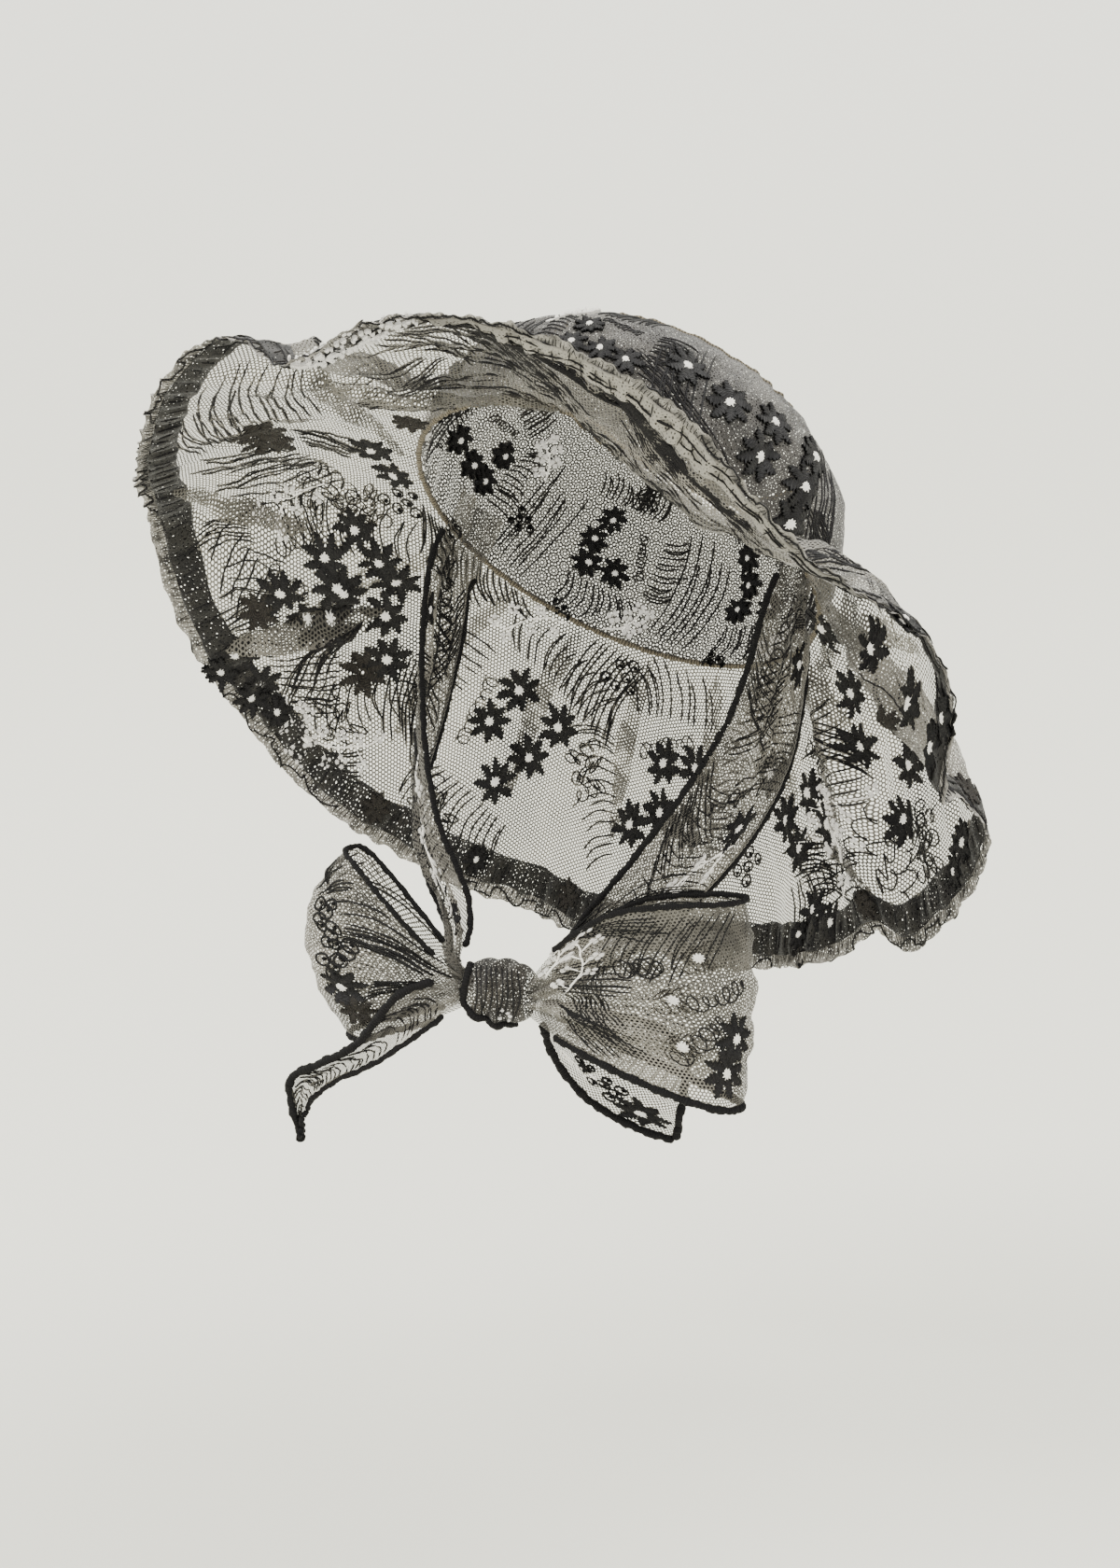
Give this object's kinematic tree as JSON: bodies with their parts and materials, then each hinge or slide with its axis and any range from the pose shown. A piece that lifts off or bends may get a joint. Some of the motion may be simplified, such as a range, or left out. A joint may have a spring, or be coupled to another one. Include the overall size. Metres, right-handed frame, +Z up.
{
  "type": "embroidered net sun hat with chin ties",
  "caption": "Soft embroidered net sun hat with a domed crown, a wide fluted brim and chin ties knotted in a bow.",
  "frame": {"origin": "centre of the head opening, where the hat sits on a head", "axes": "+Z up as worn, -Y is the way the wearer faces, +X is the wearer's left"},
  "size_m": [0.3883, 0.3029, 0.3564],
  "materials": {
    "embroidered_net": "sheer embroidered net",
    "hem_net": "doubled net hem with a ruffled edge",
    "black_edging": "rolled thread edging"
  },
  "bodies": {
    "root": {"crown_side": "embroidered_net", "crown_tip": "embroidered_net", "brim": "embroidered_net", "hem_band": "hem_net", "hem_lip": "hem_net", "knot": "embroidered_net", "tie_left": "embroidered_net", "tie_right": "embroidered_net", "loop_left": "embroidered_net", "loop_right": "embroidered_net", "tail_left": "embroidered_net", "tail_right": "embroidered_net", "tie_left_edging_a": "black_edging", "tie_left_edging_b": "black_edging", "tie_right_edging_a": "black_edging", "tie_right_edging_b": "black_edging", "loop_left_edging_a": "black_edging", "loop_left_edging_b": "black_edging", "loop_right_edging_a": "black_edging", "loop_right_edging_b": "black_edging", "tail_left_edging_a": "black_edging", "tail_left_edging_b": "black_edging", "tail_right_edging_a": "black_edging", "tail_right_edging_b": "black_edging"}
  },
  "joints": []
}
